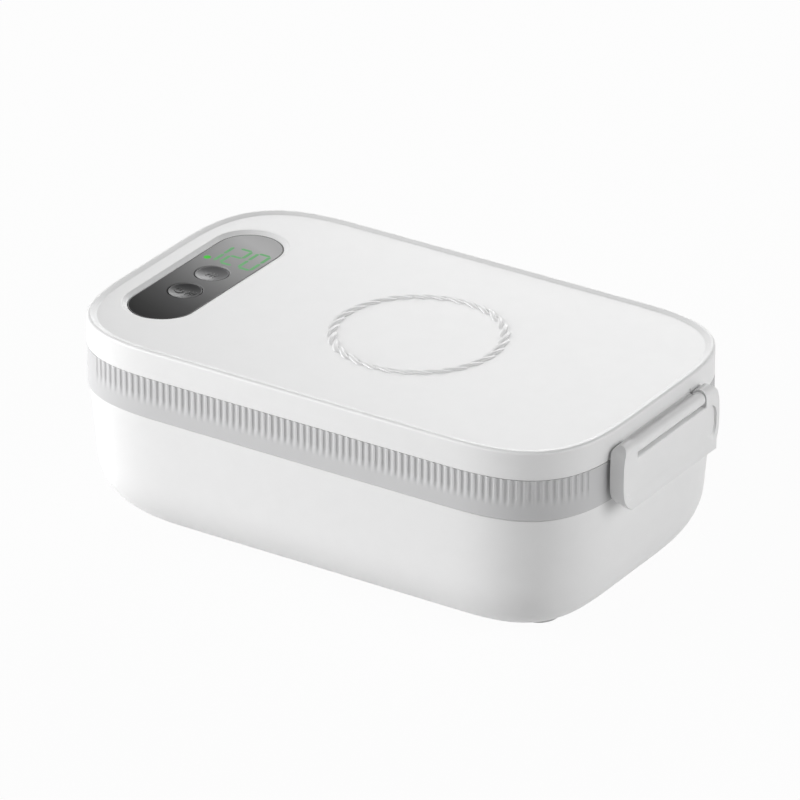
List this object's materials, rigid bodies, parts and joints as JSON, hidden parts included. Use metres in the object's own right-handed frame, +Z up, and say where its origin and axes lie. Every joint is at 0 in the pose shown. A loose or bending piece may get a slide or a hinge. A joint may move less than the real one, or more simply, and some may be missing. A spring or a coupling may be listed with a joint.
{
  "type": "electric lunch box",
  "caption": "Low rounded lunch box that heats its food tray, with a hinged lid, an end latch, a key panel and a rear power inlet.",
  "frame": {"origin": "middle of the box on the surface that it stands on", "axes": "+X along the length towards the latch, +Z up, -Y towards the long side seen in the picture"},
  "size_m": [0.2572, 0.146, 0.09],
  "materials": {
    "casing_shell": "white satin plastic",
    "casing_collar": "pale grey satin plastic",
    "base_cover": "white satin plastic",
    "base_screw_1": "plated steel",
    "base_screw_2": "plated steel",
    "base_screw_3": "plated steel",
    "base_screw_4": "plated steel",
    "foot_latch_back": "grey rubber",
    "foot_hinge_back": "grey rubber",
    "foot_hinge_front": "grey rubber",
    "foot_latch_front": "grey rubber",
    "hinge_pin": "plated steel",
    "food_container": "brushed stainless steel",
    "heater_pan": "bare aluminium",
    "pan_screw_1": "plated steel",
    "pan_screw_2": "plated steel",
    "pan_screw_3": "plated steel",
    "pan_screw_4": "plated steel",
    "heating_plate": "bare aluminium",
    "heating_tube": "plated steel",
    "thermostat": "plated steel",
    "thermostat_strap": "plated steel",
    "thermal_fuse": "pale mineral fibre",
    "insulation_pad": "pale mineral fibre",
    "power_board": "green circuit board",
    "power_board_screw_1": "plated steel",
    "power_board_screw_2": "plated steel",
    "transformer": "black plastic",
    "capacitor": "black plastic",
    "inlet_housing": "black plastic",
    "inlet_pin_front": "bright brass",
    "inlet_pin_back": "bright brass",
    "inlet_lead_front": "red silicone sleeve",
    "inlet_lead_back": "red silicone sleeve",
    "heater_lead_front": "red silicone sleeve",
    "heater_lead_back": "red silicone sleeve",
    "lid_cover": "white satin plastic",
    "lid_liner": "white satin plastic",
    "liner_screw_1": "plated steel",
    "liner_screw_2": "plated steel",
    "liner_screw_3": "plated steel",
    "liner_screw_4": "plated steel",
    "lid_seal": "translucent silicone",
    "panel_lens": "black glossy plastic",
    "control_board": "green circuit board",
    "control_screw_1": "plated steel",
    "control_screw_2": "plated steel",
    "control_screw_3": "plated steel",
    "control_screw_4": "plated steel",
    "display_module": "green display block",
    "key_start_switch": "black plastic",
    "key_set_switch": "black plastic",
    "latch": "white satin plastic",
    "latch_pin": "plated steel",
    "key_start": "dark glossy plastic",
    "key_set": "dark glossy plastic"
  },
  "bodies": {
    "base": {"casing_shell": "casing_shell", "casing_collar": "casing_collar", "base_cover": "base_cover", "base_screw_1": "base_screw_1", "base_screw_2": "base_screw_2", "base_screw_3": "base_screw_3", "base_screw_4": "base_screw_4", "foot_latch_back": "foot_latch_back", "foot_hinge_back": "foot_hinge_back", "foot_hinge_front": "foot_hinge_front", "foot_latch_front": "foot_latch_front", "hinge_pin": "hinge_pin", "food_container": "food_container", "heater_pan": "heater_pan", "pan_screw_1": "pan_screw_1", "pan_screw_2": "pan_screw_2", "pan_screw_3": "pan_screw_3", "pan_screw_4": "pan_screw_4", "heating_plate": "heating_plate", "heating_tube": "heating_tube", "thermostat": "thermostat", "thermostat_strap": "thermostat_strap", "thermal_fuse": "thermal_fuse", "insulation_pad": "insulation_pad", "power_board": "power_board", "power_board_screw_1": "power_board_screw_1", "power_board_screw_2": "power_board_screw_2", "transformer": "transformer", "capacitor": "capacitor", "inlet_housing": "inlet_housing", "inlet_pin_front": "inlet_pin_front", "inlet_pin_back": "inlet_pin_back", "inlet_lead_front": "inlet_lead_front", "inlet_lead_back": "inlet_lead_back", "heater_lead_front": "heater_lead_front", "heater_lead_back": "heater_lead_back"},
    "lid": {"lid_cover": "lid_cover", "lid_liner": "lid_liner", "liner_screw_1": "liner_screw_1", "liner_screw_2": "liner_screw_2", "liner_screw_3": "liner_screw_3", "liner_screw_4": "liner_screw_4", "lid_seal": "lid_seal", "panel_lens": "panel_lens", "control_board": "control_board", "control_screw_1": "control_screw_1", "control_screw_2": "control_screw_2", "control_screw_3": "control_screw_3", "control_screw_4": "control_screw_4", "display_module": "display_module", "key_start_switch": "key_start_switch", "key_set_switch": "key_set_switch"},
    "latch": {"latch": "latch", "latch_pin": "latch_pin"},
    "key_start": {"key_start": "key_start"},
    "key_set": {"key_set": "key_set"}
  },
  "joints": [
    {"name": "lid_hinge", "type": "hinge", "parent": "base", "child": "lid", "pos_m": [-0.1248, 0, 0.07775], "axis": [0, -1, 0], "range_deg": [0, 105]},
    {"name": "latch_hinge", "type": "hinge", "parent": "lid", "child": "latch", "pos_m": [0.1238, 0, 0.0813], "axis": [0, -1, 0], "range_deg": [0, 110]},
    {"name": "start_key_press", "type": "slide", "parent": "lid", "child": "key_start", "axis": [0, 0, -1], "range_m": [0, 0.0007], "stiffness_N_per_m": 1500},
    {"name": "set_key_press", "type": "slide", "parent": "lid", "child": "key_set", "axis": [0, 0, -1], "range_m": [0, 0.0007], "stiffness_N_per_m": 1500}
  ]
}
